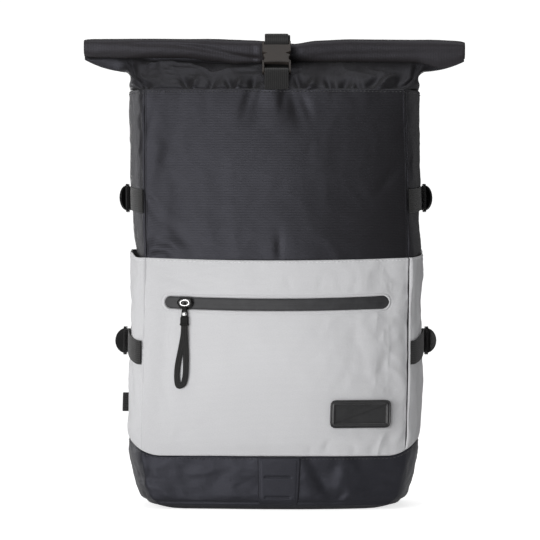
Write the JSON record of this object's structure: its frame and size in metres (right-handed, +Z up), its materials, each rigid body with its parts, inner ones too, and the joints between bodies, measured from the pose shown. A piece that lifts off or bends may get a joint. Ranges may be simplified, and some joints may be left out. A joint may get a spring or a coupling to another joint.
{
  "type": "roll-top laptop backpack",
  "caption": "Upright roll-top backpack with a charcoal body, light grey pocket layer with a coated zip, strapped roll closure, side compression straps and padded shoulder straps.",
  "frame": {"origin": "middle of the bounding box at the floor the base stands on", "axes": "+Z up, -Y the front with the pocket and buckle, +X to the right as seen from the front"},
  "size_m": [0.404, 0.2169, 0.4978],
  "materials": {
    "charcoal_cloth": "charcoal woven polyester with a satin sheen",
    "back_padding": "plain padded cloth",
    "grey_cloth": "light grey coated polyester",
    "webbing": "ribbed woven webbing",
    "buckle_plastic": "satin moulded plastic",
    "coated_tape": "matte coated zip tape",
    "black_metal": "black enamelled slider",
    "nickel": "polished nickel",
    "lock_plastic": "glossy moulded plastic",
    "patch_rubber": "moulded rubber with a raised rim"
  },
  "bodies": {
    "root": {"front_panel": "charcoal_cloth", "side_panel_left": "charcoal_cloth", "side_panel_right": "charcoal_cloth", "base_boot": "charcoal_cloth", "throat": "charcoal_cloth", "roll": "charcoal_cloth", "light_patch": "charcoal_cloth", "back_panel": "back_padding", "shoulder_strap_left": "back_padding", "shoulder_strap_right": "back_padding", "pocket_front": "grey_cloth", "pocket_side_left": "grey_cloth", "pocket_side_right": "grey_cloth", "strap_lower": "webbing", "strap_upper": "webbing", "side_tag": "webbing", "grab_handle": "webbing", "zip_pull_loop": "webbing", "side_strap_upper_left": "webbing", "side_anchor_upper_left": "webbing", "side_strap_upper_right": "webbing", "side_anchor_upper_right": "webbing", "side_strap_lower_left": "webbing", "side_anchor_lower_left": "webbing", "side_strap_lower_right": "webbing", "side_anchor_lower_right": "webbing", "shoulder_web_left": "webbing", "adjuster_anchor_left": "webbing", "shoulder_web_right": "webbing", "adjuster_anchor_right": "webbing", "buckle_female": "buckle_plastic", "buckle_male": "buckle_plastic", "zip_tape": "coated_tape", "zip_slider": "black_metal", "zip_tab": "nickel", "zip_pull_sleeve": "lock_plastic", "side_lock_upper_left": "lock_plastic", "side_lock_upper_right": "lock_plastic", "side_lock_lower_left": "lock_plastic", "side_lock_lower_right": "lock_plastic", "adjuster_left": "lock_plastic", "adjuster_right": "lock_plastic", "rubber_patch": "patch_rubber"}
  },
  "joints": []
}
